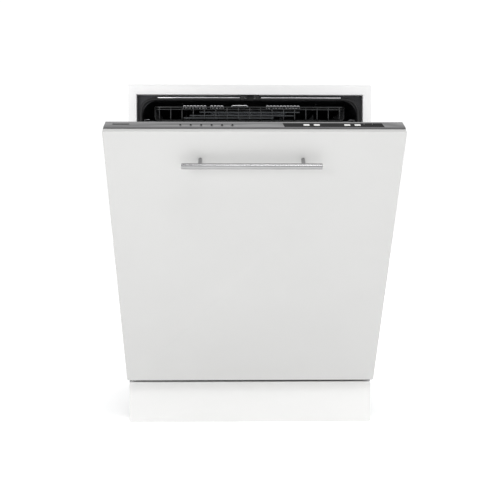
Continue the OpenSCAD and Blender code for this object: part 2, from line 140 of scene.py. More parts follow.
def painted(name, dark, light, roughness, peel_mm, bump, coat=0.0, glow=0.0):
    """A sprayed or coated surface: a faint orange peel and a hardly visible cloudiness."""
    finish, tree, place = start(name)
    cloud = node(tree, "ShaderNodeTexNoise", None, {"Vector": place, "Scale": 6.0, "Detail": 3.0})
    peel = node(tree, "ShaderNodeTexNoise", None,
                {"Vector": place, "Scale": 1000.0 / peel_mm, "Detail": 2.0, "Roughness": 0.4})
    relief = node(tree, "ShaderNodeBump", None,
                  {"Strength": bump, "Distance": 0.0002, "Height": peel.outputs[0]})
    return skinned(finish, {
        "Base Color": spread(tree, tone(dark), tone(light), cloud.outputs[0]),
        "Roughness": spread(tree, roughness - 0.04, roughness + 0.06, peel.outputs[0]),
        "IOR": 1.5, "Coat Weight": coat, "Coat Roughness": 0.25, "Normal": relief.outputs[0],
        "Emission Color": tone("#ffffff"), "Emission Strength": glow})


def brushed(name, dark, light, roughness, along, line_mm, bump, streak=0.5):
    """Metal with grinding lines along one direction: fine noise drawn out into streaks."""
    finish, tree, place = start(name)
    fine, long = 1000.0 / line_mm, 6.0         # waves in a metre, across and along the lines
    stretch = node(tree, "ShaderNodeMapping", None,
                   {"Vector": place, "Scale": [long if i == along else fine for i in range(3)]})
    lines = node(tree, "ShaderNodeTexNoise", None,
                 {"Vector": stretch.outputs[0], "Scale": 1.0, "Detail": 4.0, "Roughness": 0.65})
    wide = node(tree, "ShaderNodeTexNoise", None, {"Vector": place, "Scale": 7.0, "Detail": 2.0})
    both = node(tree, "ShaderNodeMath", {"operation": "MULTIPLY_ADD", "use_clamp": True},
                {0: lines.outputs[0], 1: streak, 2: wide.outputs[0]})
    even = node(tree, "ShaderNodeMapRange", None,
                {0: both.outputs[0], 1: 0.35, 2: 1.05, 3: 0.0, 4: 1.0})
    relief = node(tree, "ShaderNodeBump", None,
                  {"Strength": bump, "Distance": 0.0001, "Height": lines.outputs[0]})
    return skinned(finish, {
        "Base Color": spread(tree, tone(dark), tone(light), even.outputs[0]), "Metallic": 1.0,
        "Roughness": spread(tree, roughness - 0.05, roughness + 0.08, lines.outputs[0]),
        "Normal": relief.outputs[0]})


def moulded(name, dark, light, roughness, grain_mm, bump, ior=1.49):
    """Moulded plastic or rubber: a spark-eroded grain and a little unevenness in its gloss."""
    finish, tree, place = start(name)
    grain = node(tree, "ShaderNodeTexVoronoi", {"feature": "SMOOTH_F1"},
                 {"Vector": place, "Scale": 1000.0 / grain_mm, "Smoothness": 0.6})
    flow = node(tree, "ShaderNodeTexNoise", None, {"Vector": place, "Scale": 14.0, "Detail": 3.0})
    relief = node(tree, "ShaderNodeBump", None,
                  {"Strength": bump, "Distance": 0.0002, "Height": grain.outputs["Distance"]})
    return skinned(finish, {
        "Base Color": spread(tree, tone(dark), tone(light), flow.outputs[0]),
        "Roughness": spread(tree, roughness - 0.06, roughness + 0.08, flow.outputs[0]),
        "IOR": ior, "Normal": relief.outputs[0]})


# Lacquered fibreboard, sprayed and cured: an even satin with a trace of orange peel; the white
# lacquer's base colour is greyed as painted shade for the door's face, which tilts down away from
# the light.
lacquer_with_painted_shade = painted("white_satin_lacquer_painted_shade", "#c9c9c8", "#cececd", 0.42, 5.0, 0.05, coat=0.1)
# Foil-wrapped plinth board: whiter and a little duller than the lacquer.
foil = painted("white_melamine_foil", "#f0f0ef", "#f4f4f3", 0.5, 3.0, 0.05)
# Powder-coated steel frame: white, with the fine pebble of the powder.
powder = painted("white_powder_coat", "#f8f8f8", "#fbfbfb", 0.4, 2.5, 0.08)
# Stainless sheet ground along its length: a grey that is streaked along the control strip.
strip_steel = brushed("brushed_stainless_strip", "#5c5c5d", "#747475", 0.3, 0, 0.7, 0.15)
# Stainless round bar, ground along its length, a touch brighter than the strip.
bar_steel = brushed("satin_stainless_bar", "#a2a2a3", "#b6b6b7", 0.2, 0, 0.8, 0.02, streak=0.25)
# Bright rolled edges of the tub's flange, beside the latch housing.
trim_steel = brushed("bright_rolled_trim", "#eeeef0", "#f6f6f8", 0.3, 0, 1.0, 0.05)
# Rolled stainless sheet of the tub, its base colour darkened as painted shade for the inside of the
# closed tub.
tub_steel_painted_shade = brushed("rolled_stainless_tub_painted_shade", "#3c3c3e", "#4a4a4c", 0.34, 2, 1.5, 0.1)
# The same sheet in more light: the door's inner face and the rails.
liner_steel = brushed("rolled_stainless_liner", "#8c8c8e", "#a0a0a2", 0.3, 2, 1.5, 0.1)
# Zinc-coated sheet: a cool mid grey with a low sheen.
zinc = brushed("zinc_coated_sheet", "#8f9294", "#a9acae", 0.45, 1, 6.0, 0.12, streak=0.8)
# Zinc-plated hinge and spring steel: darker and glossier than the sheet.
plated = brushed("zinc_plated_steel", "#7c7d80", "#98999c", 0.32, 1, 2.0, 0.1)
# Steel wire in a grey nylon coat: mid grey with a soft gloss.
nylon = moulded("nylon_coated_wire", "#505254", "#5e6062", 0.22, 2.0, 0.05)
# The same coat with its colour darkened as painted shade for the dim inside of the tub: the cutlery
# tray.
nylon_painted_shade = moulded("nylon_coated_wire_painted_shade", "#2b2c2d", "#363738", 0.25, 2.0, 0.05)
# Polished stainless wire of the tray's front rim.
bright_wire = brushed("polished_stainless_wire", "#e6e6e8", "#f4f4f6", 0.14, 0, 1.0, 0.03)
# Glass-filled polypropylene, black: the base tray and the latch housing.
black_pp = moulded("black_polypropylene", "#121213", "#1a1a1b", 0.5, 1.6, 0.15)
# Dark grey polypropylene: sump, pumps, feet.
dark_pp = moulded("dark_grey_polypropylene", "#29292b", "#343436", 0.48, 1.6, 0.15)
# Grey polypropylene: spray arms, wheels, cutlery basket, dispenser.
grey_pp = moulded("grey_polypropylene", "#62666a", "#70747a", 0.42, 1.6, 0.12)
# White polypropylene: softener, valve, air break, feed duct.
white_pp = moulded("white_polypropylene", "#cfd0cf", "#dcdddc", 0.42, 1.6, 0.1)
# Back-printed acrylic window: deep black under an anti-glare face that mirrors very little.
window = moulded("black_acrylic_window", "#060607", "#0b0b0c", 0.3, 8.0, 0.01, ior=1.06)
# White acrylic key cap: bright and glossy.
key_white = moulded("white_acrylic_key", "#f4f4f2", "#fbfbfa", 0.25, 5.0, 0.02)
# Smoked lens over a light: near black, glossy.
lens = moulded("smoked_acrylic_lens", "#101011", "#19191a", 0.2, 5.0, 0.02, ior=1.1)
# Printed mark on the steel: flat charcoal ink.
ink = moulded("charcoal_print", "#232324", "#2b2b2c", 0.6, 0.8, 0.05, ior=1.15)
# Circuit board: green solder mask over copper.
board = moulded("green_solder_mask", "#0f3d22", "#16502d", 0.35, 2.5, 0.2)
# Pressed bitumen fleece: black, dry and fibrous.
fleece = moulded("pressed_bitumen_fleece", "#1b1b1b", "#2a2a29", 0.9, 1.2, 0.8)
# EPDM rubber: black, dull, with a faint bloom.
rubber = moulded("black_epdm_rubber", "#161617", "#202021", 0.62, 1.4, 0.2, ior=1.52)
# Blue acetal cap of the rinse aid tank.
blue = moulded("blue_acetal_cap", "#1f3f80", "#274c94", 0.35, 2.0, 0.08)


def coil_steel(pitch=0.0021):
    """Spring wire in tight turns: ridges run round the tube at the wire's pitch, with painted shade
    in the grooves between turns and a painted highlight on their crests.
    """
    finish, tree, place = start("coiled_spring_wire_painted_shade_and_highlight")
    turns = node(tree, "ShaderNodeTexWave", {"wave_type": "BANDS", "bands_direction": "Z",
                                             "wave_profile": "SIN"},
                 {"Vector": place, "Scale": 2 * math.pi / 20 / pitch, "Distortion": 0.0})
    relief = node(tree, "ShaderNodeBump", None,
                  {"Strength": 1.0, "Distance": 0.001, "Height": turns.outputs["Fac"]})
    return skinned(finish, {
        # painted shade: dark in the grooves between turns; painted highlight: light on the crests
        "Base Color": spread(tree, tone("#2c2c2e"), tone("#a4a5a8"), turns.outputs["Fac"]),
        "Metallic": 1.0, "Roughness": 0.35, "Normal": relief.outputs[0]})


# ---------------------------------------------------------------- mesh tools


def rounded(mesh, edges, width, steps):
    """Bevels edges to a round."""
    return bmesh.ops.bevel(mesh, geom=list(edges), offset=width, offset_type="OFFSET",
                           affect="EDGES", segments=steps, profile=0.5, material=-1,
                           clamp_overlap=True)


def block_edges(mesh, low, high):
    """Makes a block between two corners and gives its edges."""
    low, high = Vector(low), Vector(high)
    place = Matrix.Translation((low + high) / 2) @ Matrix.Diagonal((*(high - low), 1))
    verts = bmesh.ops.create_cube(mesh, size=1, matrix=place)["verts"]
    return list({e for v in verts for e in v.link_edges})


def slab(mesh, low, high, edge=0.0):
    """A block between two corners with its edges rounded."""
    edges = block_edges(mesh, low, high)
    if edge:
        rounded(mesh, edges, edge, 2)


def board_shape(mesh, low, high, corner, edge, along=1):
    """A board whose outline's corners are rounded and whose face edges are eased."""
    posts = [e for e in block_edges(mesh, low, high)
             if abs((e.verts[0].co - e.verts[1].co)[along]) > 1e-6]
    made = rounded(mesh, posts, corner, 6)
    if edge:
        verts = {v for f in made["faces"] for v in f.verts}
        faces = {f for v in verts for f in v.link_faces}
        rims = {e for f in faces if abs(f.normal[along]) > 0.9 for e in f.edges}
        rounded(mesh, rims, edge, 3)


def slice_at(mesh, axis, at):
    """Cuts every face along a plane across an axis."""
    co, no = Vector(), Vector()
    co[axis], no[axis] = at, 1
    bmesh.ops.bisect_plane(mesh, geom=mesh.verts[:] + mesh.edges[:] + mesh.faces[:],
                           plane_co=co, plane_no=no)


def join(mesh, made):
    """Moves everything of one bmesh into another."""
    data = bpy.data.meshes.new("joined")
    made.to_mesh(data)
    made.free()
    mesh.from_mesh(data)
    bpy.data.meshes.remove(data)


def rod(mesh, a, b, radius, sides=10, tip=None):
    """A round bar, or a cone, between two points."""
    a, b = Vector(a), Vector(b)
    way = b - a
    place = (Matrix.Translation((a + b) / 2)
             @ way.to_track_quat("Z", "Y").to_matrix().to_4x4())
    bmesh.ops.create_cone(mesh, cap_ends=True, segments=sides, radius1=radius,
                          radius2=radius if tip is None else tip, depth=way.length, matrix=place)


def turned(mesh, place, outline, steps=32):
    """Spins an outline of (radius, height) points round the Z axis of place."""
    verts = [mesh.verts.new(place @ Vector((r, 0, h))) for r, h in outline]
    edges = [mesh.edges.new(pair) for pair in zip(verts, verts[1:])]
    axis = (place.to_3x3() @ Vector((0, 0, 1))).normalized()
    bmesh.ops.spin(mesh, geom=verts + edges, cent=place.translation, axis=axis,
                   angle=2 * math.pi, steps=steps, use_merge=True)
    bmesh.ops.remove_doubles(mesh, verts=mesh.verts[:], dist=1e-6)


def circle(x, y, radius, z, count):
    """Points evenly round an upright axis."""
    return [(x + radius * math.cos(2 * math.pi * k / count),
             y + radius * math.sin(2 * math.pi * k / count), z) for k in range(count)]


def rods_round(mesh, x, y, count, thick, first, last):
    """Thin rods round an upright axis, each from one (radius, height) to another."""
    for a, b in zip(circle(x, y, *first, count), circle(x, y, *last, count)):
        rod(mesh, a, b, thick, 5)


def upright(x, y, z):
    """A place whose Z is the frame's."""
    return Matrix.Translation((x, y, z))


def facing(place, axis):
    """A place whose Z looks along axis."""
    return Matrix.Translation(place) @ Vector(axis).to_track_quat("Z", "Y").to_matrix().to_4x4()


def bent(points, radius, closed=False, steps=4):
    """A path through points with its corners rounded."""
    points = [Vector(p) for p in points]
    path = []
    for i, p in enumerate(points):
        if not closed and i in (0, len(points) - 1):
            path.append(p)
            continue
        before, after = points[i - 1], points[(i + 1) % len(points)]
        cut = min(radius, (before - p).length / 2.01, (after - p).length / 2.01)
        a, b = p + (before - p).normalized() * cut, p + (after - p).normalized() * cut
        for k in range(steps + 1):
            t = k / steps
            path.append(a * (1 - t) ** 2 + p * (2 * t * (1 - t)) + b * t * t)
    return path


def wire(mesh, path, radius, closed=False, sides=1):
    """A round wire along a path, made with a bevelled curve."""
    curve = bpy.data.curves.new("wire", "CURVE")
    curve.dimensions = "3D"
    line = curve.splines.new("POLY")
    line.points.add(len(path) - 1)
    for point, at in zip(line.points, path):
        point.co = (*at, 1)
    line.use_cyclic_u = closed
    curve.bevel_depth = radius
    curve.bevel_resolution = sides
    curve.use_fill_caps = not closed
    drawn = bpy.data.objects.new("wire", curve)
    mesh.from_mesh(drawn.to_mesh())
    drawn.to_mesh_clear()
    bpy.data.objects.remove(drawn)
    bpy.data.curves.remove(curve)


def piece(name, mesh, finish, body, replaces=(), place=None, smooth=35):
    """Turns a bmesh into a piece that rides on a body."""
    if place is not None:
        bmesh.ops.transform(mesh, matrix=place, verts=mesh.verts[:])
    bmesh.ops.recalc_face_normals(mesh, faces=mesh.faces[:])
    data = bpy.data.meshes.new(name)
    mesh.to_mesh(data)
    mesh.free()
    data.shade_smooth()
    data.set_sharp_from_angle(angle=math.radians(smooth))
    data.materials.append(finish)
    made = bpy.data.objects.new(name, data)
    bpy.context.scene.collection.objects.link(made)
    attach(made, body)
    if replaces:
        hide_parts(*([replaces] if isinstance(replaces, str) else replaces))
    return made


def body_of(name):
    """The body that carries a CAD node."""
    return next(b for b, e in frame["bodies"].items() if frame["nodes"][name].parent == e)


def copied(source):
    """A CAD node's mesh with its flat faces whole."""
    mesh = bmesh.new()
    mesh.from_mesh(frame["nodes"][source].data)
    bmesh.ops.remove_doubles(mesh, verts=mesh.verts[:], dist=1e-5)
    bmesh.ops.dissolve_limit(mesh, angle_limit=math.radians(1), verts=mesh.verts[:],
                             edges=mesh.edges[:])
    return mesh


def eased(name, source, finish, width, steps=2):
    """A copy of a CAD node with its sharp edges eased, standing for that node."""
    mesh = copied(source)
    sharp = [e for e in mesh.edges
             if len(e.link_faces) == 2 and e.calc_face_angle(0) > math.radians(28)]
    rounded(mesh, sharp, width, steps)
    return piece(name, mesh, finish, body_of(source), source)


def carried(source, finish):
    """A CAD node that stays, with a better finish."""
    part = frame["nodes"][source]
    if not part.material_slots:
        part.data.materials.append(finish)
    for material_slot in part.material_slots:
        material_slot.material = finish


# ---------------------------------------------------------------- camera, floor and light

# a long lens, level with the middle of the door and a little to its left
camera = bpy.data.objects.new("camera", bpy.data.cameras.new("camera"))
camera.data.lens = 66.46
camera.data.sensor_width = 36
camera.data.shift_x = 0.0024
camera.location = (-0.0472, -2.2833, 0.5067)
camera.rotation_euler = (math.radians(90 - 2.12), 0, math.radians(-1.11))
bpy.context.scene.collection.objects.link(camera)
bpy.context.scene.camera = camera
bpy.context.scene.view_settings.view_transform = "Standard"

floor_mesh = bmesh.new()
bmesh.ops.create_grid(floor_mesh, x_segments=1, y_segments=1, size=30)
floor_data = bpy.data.meshes.new("floor")
floor_mesh.to_mesh(floor_data)
floor_mesh.free()
floor_data.materials.append(painted("white_studio_floor", "#f7f7f7", "#f9f9f9", 0.9, 40.0, 0.0,
                                     glow=0.4))
floor = bpy.data.objects.new("floor", floor_data)
bpy.context.scene.collection.objects.link(floor)

world = bpy.data.worlds.new("studio")
bpy.context.scene.world = world
world.use_nodes = True
world.node_tree.nodes.clear()
sky = node(world.node_tree, "ShaderNodeTexCoord").outputs["Generated"]
ways = node(world.node_tree, "ShaderNodeSeparateXYZ", None, {"Vector": sky})
# the white backdrop behind the object gives way to a dimmer room behind the camera
turn = node(world.node_tree, "ShaderNodeMapRange", {"interpolation_type": "SMOOTHSTEP"},
            {"Value": ways.outputs["Y"], "From Min": -0.6, "From Max": 0.35,
             "To Min": 0.31, "To Max": 1.06})
node(world.node_tree, "ShaderNodeOutputWorld", None, {"Surface": node(
    world.node_tree, "ShaderNodeBackground", None,
    {"Color": tone("#ffffff"), "Strength": turn.outputs[0]}).outputs[0]})


def softbox(name, place, target, size, watts):
    """A rectangular lamp at a place, turned to its target."""
    light = bpy.data.objects.new(name, bpy.data.lights.new(name, "AREA"))
    light.data.shape = "RECTANGLE"
    light.data.size, light.data.size_y = size
    light.data.energy = watts
    light.location = place
    light.rotation_euler = (Vector(target) - Vector(place)).to_track_quat("-Z", "Y").to_euler()
    bpy.context.scene.collection.objects.link(light)


softbox("right_softbox", (2.6, -2.2, 1.5), (0, -0.3, 0.45), (1.6, 2.0), 7)
softbox("top_softbox", (0.5, -2.8, 3.0), (0, 0, 0.4), (1.6, 1.2), 34)
softbox("front_softbox", (-1.5, -2.9, 1.05), (0, -0.4, 0.6), (0.6, 0.6), 15)

# ---------------------------------------------------------------- cabinet

eased("front_frame_sheet", "front_frame", powder, 0.0004)


def side_sheet(mesh, sign, grooves, margin=0.05, depth=0.0018, sheet=0.0012):
    """One upright side sheet with long grooves, given by their lowest and highest Z, pressed in."""
    low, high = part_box("side_panels")
    made = bmesh.new()
    place = (Matrix.Translation((sign * high.x, (low.y + high.y) / 2, (low.z + high.z) / 2))
             @ Matrix.Rotation(sign * math.pi / 2, 4, "Y")
             @ Matrix.Diagonal((high.z - low.z, high.y - low.y, 1, 1)))
    bmesh.ops.create_grid(made, x_segments=1, y_segments=1, size=0.5, matrix=place)
    cuts = [(2, z) for groove in grooves for z in groove]
    for axis, at in cuts + [(1, low.y + margin), (1, high.y - margin)]:
        slice_at(made, axis, at)
    for bottom, top in grooves:
        middle = [f for f in made.faces if bottom < f.calc_center_median().z < top
                  and low.y + margin < f.calc_center_median().y < high.y - margin]
        bmesh.ops.inset_region(made, faces=middle, thickness=0.006, depth=-depth,
                               use_even_offset=True)
    bmesh.ops.solidify(made, geom=made.faces[:], thickness=sheet)
    join(mesh, made)


mesh = bmesh.new()
for sign in (-1, 1):
    side_sheet(mesh, sign, [(0.22, 0.27), (0.43, 0.48), (0.64, 0.69)])
piece("side_sheets", mesh, zinc, "cabinet", "side_panels")

eased("rear_sheet", "rear_panel", zinc, 0.0003)
rear_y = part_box("rear_panel")[1].y
mesh = bmesh.new()
for z in (0.26, 0.42, 0.58, 0.74):
    board_shape(mesh, (-0.24, rear_y - 0.0006, z - 0.022), (0.24, rear_y + 0.003, z + 0.022),
                0.02, 0.0025)
piece("rear_sheet_ribs", mesh, zinc, "cabinet")


def screw(mesh, place, axis, radius=0.0042):
    """A pan-head screw with a cross on its head."""
    at = facing(place, axis)
    turned(mesh, at, [(0, 0.0021), (radius * 0.55, 0.002), (radius * 0.9, 0.0012), (radius, 0.0)],
           14)
    for turn in (0, math.pi / 2):
        bar = (at @ Matrix.Rotation(turn, 4, "Z") @ Matrix.Translation((0, 0, 0.002))
               @ Matrix.Diagonal((radius, radius * 0.26, 0.0006, 1)))
        bmesh.ops.create_cube(mesh, size=1, matrix=bar)


bar_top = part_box("top_crossbars")[1].z
mesh = bmesh.new()
for x in (-0.285, 0.285):
    for z in (0.18, 0.34, 0.50, 0.66, 0.80):
        screw(mesh, (x, rear_y, z), (0, 1, 0))
    for y in (0.03, 0.52):
        screw(mesh, (x, y, bar_top - 0.0012), (0, 0, 1), 0.0036)
piece("cabinet_screws", mesh, plated, "cabinet")

eased("crossbars", "top_crossbars", zinc, 0.0003)


def felt_hood():
    """The fleece hood, pressed over the tub: its top swells a little between the crossbars."""
    mesh = copied("insulation_blanket")
    low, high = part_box("insulation_blanket")
    for axis, count in ((0, 22), (1, 18), (2, 20)):
        for k in range(1, count):
            slice_at(mesh, axis, low[axis] + (high[axis] - low[axis]) * k / count)
    for v in mesh.verts:
        swell = noise.noise(v.co * 22) * 0.0011 + noise.noise(v.co * 60) * 0.0004
        if v.co.z > high.z - 0.002:
            v.co.z += swell + 0.0022 * (1 - ((v.co.y - 0.288) / 0.23) ** 2)
        elif abs(v.co.x) > high.x - 0.002:
            v.co.x += math.copysign(swell, v.co.x)
        elif v.co.y > high.y - 0.002:
            v.co.y += swell
    return mesh


piece("fleece_hood", felt_hood(), fleece, "cabinet", "insulation_blanket",
                smooth=60)

eased("base_pan", "base_tray", black_pp, 0.0006)
pan_low, pan_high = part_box("base_tray")
rib_half, rib_low, rib_high = 0.0012, pan_low.z - 0.004, pan_low.z + 0.0005
mesh = bmesh.new()
for k in range(6):
    x = -0.25 + 0.1 * k
    slab(mesh, (x - rib_half, pan_low.y + 0.02, rib_low),
         (x + rib_half, pan_high.y - 0.02, rib_high), 0.0005)
for k in range(5):
    y = pan_low.y + 0.06 + 0.1 * k
    slab(mesh, (pan_low.x + 0.02, y - rib_half, rib_low),
         (pan_high.x - 0.02, y + rib_half, rib_high), 0.0005)
piece("base_pan_ribs", mesh, black_pp, "cabinet")

plinth_low, plinth_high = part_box("plinth")
board_t = 0.016
mesh = bmesh.new()
board_shape(mesh, plinth_low, (plinth_high.x, plinth_low.y + board_t, plinth_high.z),
            0.005, 0.0008)
piece("plinth_board", mesh, foil, "cabinet", "plinth")
mesh = bmesh.new()
for sign in (-1, 1):
    across = sorted((sign * 0.270, sign * 0.285))
    slab(mesh, (across[0], plinth_low.y + board_t - 0.0002, 0),
         (across[1], plinth_high.y, 0.08), 0.001)
piece("plinth_returns", mesh, foil, "cabinet")

for foot in ("foot_front_left", "foot_front_right", "foot_rear"):
    low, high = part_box(foot)
    x, y = (low.x + high.x) / 2, (low.y + high.y) / 2
    thread = [(0.0058 - 0.0009 * (k % 2), 0.014 + 0.001 * k) for k in range(42)]
    mesh = bmesh.new()
    turned(mesh, upright(x, y, 0), [
        (0, 0), (0.0205, 0), (0.022, 0.0015), (0.022, 0.0055), (0.020, 0.0075), (0.0105, 0.009),
        (0.0095, 0.0125), (0.0058, 0.0135)] + thread + [(0, 0.056)], 28)
    rods_round(mesh, x, y, 18, 0.0004, (0.0216, 0.001), (0.0216, 0.006))
    bmesh.ops.create_cone(mesh, cap_ends=True, segments=6, radius1=0.0098, radius2=0.0098,
                          depth=0.005, matrix=upright(x, y, 0.0115))
    piece(foot + "_body", mesh, dark_pp, foot, foot)

# ---------------------------------------------------------------- tub

# the tub's sheet has its base colour darkened as painted shade
eased("tub_shell", "tub", tub_steel_painted_shade, 0.0003, steps=1)
# swages: half-round ribs whose centre lines lie just inside the tub's sheet
swage_x, swage_y, swage_z, swage_r = 0.2662, 0.5202, 0.7922, 0.0022
mesh = bmesh.new()
for z in (0.26, 0.34, 0.46, 0.54, 0.66):
    for sign in (-1, 1):
        wire(mesh, [(sign * swage_x, 0.07, z), (sign * swage_x, 0.47, z)], swage_r)
for x in (-0.20, -0.12, 0.12, 0.20):
    wire(mesh, [(x, swage_y, 0.24), (x, swage_y, 0.70)], swage_r)
for x in (-0.17, 0.17):
    wire(mesh, [(x, 0.08, swage_z), (x, 0.46, swage_z)], swage_r)
piece("tub_swages", mesh, tub_steel_painted_shade, "cabinet", smooth=60)

# the seal: a round bulb on a foot, in two runs that meet the latch housing
seal_x, seal_y, seal_z = 0.2705, 0.016, 0.7960
mesh = bmesh.new()
for sign in (-1, 1):
    run = bent([(sign * 0.024, seal_y, seal_z), (sign * seal_x, seal_y, seal_z),
                (sign * seal_x, seal_y, 0.182)], 0.042, steps=10)
    wire(mesh, run, 0.0038, sides=3)
    foot_run = [p + Vector((0, 0.0025, 0)) for p in run]
    wire(mesh, foot_run, 0.0022, sides=1)
piece("mouth_seal", mesh, rubber, "cabinet", "tub_gasket", smooth=70)

# bright edges of the tub's flange on both sides of the latch housing
mesh = bmesh.new()
for a, b in ((-0.228, -0.0245), (0.0275, 0.225)):
    slab(mesh, (a, 0.0095, 0.7972), (b, 0.0125, 0.7994), 0.0006)
piece("mouth_trims", mesh, trim_steel, "cabinet")

eased("latch_housing", "latch_striker", black_pp, 0.0008)
mesh = bmesh.new()
for sign in (-1, 1):
    wire(mesh, bent([(sign * 0.0125, 0.0078, 0.8015), (sign * 0.0125, 0.0040, 0.7955),
                     (sign * 0.0085, 0.0040, 0.7955)], 0.002), 0.0011)
piece("latch_loop", mesh, plated, "cabinet", smooth=60)

eased("sump_pot", "sump", dark_pp, 0.0006)
eased("softener_tank", "water_softener", white_pp, 0.002)
eased("valve_body", "inlet_valve", white_pp, 0.0008)
eased("air_break_box", "air_break_unit", white_pp, 0.002)
eased("supply_box", "terminal_box", dark_pp, 0.001)
eased("feed_duct", "spray_feed_pipe", white_pp, 0.0015)
eased("wash_pump", "circulation_pump", dark_pp, 0.001)
eased("drain_pump_body", "drain_pump", dark_pp, 0.001)

# the flat filter: a disc with fine bars round the filter's cup
FILTER_Y = 0.165
disc_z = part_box("flat_filter")[0].z
mesh = bmesh.new()
turned(mesh, upright(0, FILTER_Y, disc_z), [
    (0.037, 0.0), (0.037, 0.0038), (0.040, 0.0032), (0.056, 0.0032), (0.0595, 0.0038),
    (0.0595, 0.0), (0.037, 0.0)], 48)
rods_round(mesh, 0, FILTER_Y, 48, 0.0004, (0.039, disc_z + 0.0034), (0.057, disc_z + 0.0034))
piece("filter_disc", mesh, liner_steel, "cabinet", "flat_filter")

cup_low, cup_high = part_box("filter_cylinder")
mesh = bmesh.new()
turned(mesh, upright(0, FILTER_Y, cup_low.z), [
    (0, 0.0), (0.0355, 0.0), (0.0365, 0.001), (0.0365, 0.064), (0.0415, 0.0645), (0.042, 0.067),
    (0.0365, 0.0695), (0.0340, 0.0700), (0.0335, 0.0690), (0.0335, 0.003), (0, 0.003)], 48)
rods_round(mesh, 0, FILTER_Y, 40, 0.0006, (0.0364, cup_low.z + 0.006), (0.0364, cup_low.z + 0.058))
for z in (0.012, 0.028, 0.044, 0.058):
    wire(mesh, circle(0, FILTER_Y, 0.0366, cup_low.z + z, 48), 0.0005, closed=True)
slab(mesh, (-0.0335, FILTER_Y - 0.002, cup_high.z - 0.006),
     (0.0335, FILTER_Y + 0.002, cup_high.z - 0.001), 0.0008)
piece("filter_cup", mesh, grey_pp, "filter_cylinder", "filter_cylinder")

salt_low, salt_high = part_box("salt_cap")
salt_x, salt_y = (salt_low.x + salt_high.x) / 2, (salt_low.y + salt_high.y) / 2
mesh = bmesh.new()
turned(mesh, upright(salt_x, salt_y, salt_low.z), [
    (0, 0), (0.0235, 0), (0.0238, 0.001), (0.0238, 0.0175), (0.0262, 0.0184), (0.028, 0.0195),
    (0.028, 0.0225), (0.0268, 0.024), (0.0, 0.0243)], 40)
rods_round(mesh, salt_x, salt_y, 24, 0.0006,
           (0.0275, salt_low.z + 0.019), (0.0275, salt_low.z + 0.0235))
slab(mesh, (salt_x - 0.020, salt_y - 0.003, salt_low.z + 0.0235),
     (salt_x + 0.020, salt_y + 0.003, salt_high.z), 0.001)
piece("salt_lid", mesh, white_pp, "salt_cap", "salt_cap")

for source in ("hinge_brackets", "hinge_arms", "spring_hooks"):
    eased(source + "_steel", source, plated, 0.0004)
carried("door_springs", coil_steel())
eased("fixed_rails", "rail_channels", liner_steel, 0.0003)
eased("pull_out_rails", "slide_rails", liner_steel, 0.0003)

# ---------------------------------------------------------------- baskets of round wire

ARM_Y = 0.272                                  # the spray arms' common axis


def pin_row(mesh, xs, y, low, high, ball_z, ball_r):
    """A row of upright pins with round tips."""
    for x in xs:
        rod(mesh, (x, y, low), (x, y, high), 0.0019, 10)
        bmesh.ops.create_icosphere(mesh, subdivisions=2, radius=ball_r,
                                   matrix=upright(x, y, ball_z))


def wire_basket(mesh, low, high, long_x, long_y, rim=0.0024, thin=0.0016, levels=2, corner=0.016):
    """U-shaped wires both ways, tied by a strong rim and by thin loops."""
    low, high = Vector(low), Vector(high)
    a, b = low + Vector((rim,) * 3), high - Vector((rim,) * 3)
    for k in range(long_x + 1):
        y = a.y + 0.012 + (b.y - a.y - 0.024) * k / long_x
        wire(mesh, bent([(a.x, y, b.z), (a.x, y, a.z), (b.x, y, a.z), (b.x, y, b.z)], corner), thin)
    for k in range(long_y + 1):
        x = a.x + 0.012 + (b.x - a.x - 0.024) * k / long_y
        wire(mesh, bent([(x, a.y, b.z), (x, a.y, a.z), (x, b.y, a.z), (x, b.y, b.z)], corner), thin)
    for level in range(levels + 1):
        z = b.z - (b.z - a.z - 0.02) * level / (levels + 1)
        wire(mesh, bent([(a.x, a.y, z), (b.x, a.y, z), (b.x, b.y, z), (a.x, b.y, z)], 0.014,
                        closed=True), rim if level == 0 else thin, closed=True)


# upper basket
mesh = bmesh.new()
low, high = Vector((-0.232, 0.036, 0.512)), Vector((0.232, 0.500, 0.690))
wire_basket(mesh, low, high, 16, 14)
for x in (-0.08, 0.02, 0.12):
    for k in range(12):
        y = 0.075 + 0.035 * k
        wire(mesh, bent([(x - 0.012, y, 0.514), (x, y, 0.556), (x + 0.012, y, 0.514)], 0.008),
             0.0013)
rod(mesh, (0, ARM_Y, 0.487), (0, ARM_Y, 0.500), 0.008, 24)
slab(mesh, (-0.014, ARM_Y - 0.014, 0.499), (0.014, 0.488, 0.5135), 0.003)
piece("upper_basket_wires", mesh, nylon, "upper_basket", "upper_basket", smooth=60)
mesh = bmesh.new()
for sign in (-1, 1):
    across = sorted((sign * 0.247, sign * 0.2575))
    slab(mesh, (across[0], 0.080, 0.5965), (across[1], 0.480, 0.6075), 0.002)
    for y in (0.12, 0.44):
        for z in (0.5985, 0.6055):
            rod(mesh, (sign * 0.2332, y, z), (sign * 0.249, y, z), 0.0022, 12)
        across = sorted((sign * 0.2325, sign * 0.2365))
        slab(mesh, (across[0], y - 0.020, 0.575), (across[1], y + 0.020, 0.627), 0.0012)
piece("upper_basket_runners", mesh, grey_pp, "upper_basket")

# cup shelf: a pivot rod, a bent outer wire, cross wires and two long ones
shelf_x, shelf_z = -0.222, 0.620
shelf_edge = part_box("cup_shelf")[1].x - 0.0017
mesh = bmesh.new()
rod(mesh, (shelf_x, 0.080, shelf_z), (shelf_x, 0.440, shelf_z), 0.0028, 14)
wire(mesh, bent([(shelf_x, 0.084, shelf_z), (shelf_edge, 0.084, shelf_z),
                 (shelf_edge, 0.436, shelf_z), (shelf_x, 0.436, shelf_z)], 0.012), 0.0017)
for k in range(11):
    y = 0.102 + 0.0316 * k
    wire(mesh, [(shelf_x, y, shelf_z), (shelf_edge, y, shelf_z)], 0.0012)
for x in (-0.190, -0.160):
    wire(mesh, [(x, 0.084, shelf_z), (x, 0.436, shelf_z)], 0.0012)
piece("cup_shelf_wires", mesh, nylon, "cup_shelf", "cup_shelf", smooth=60)

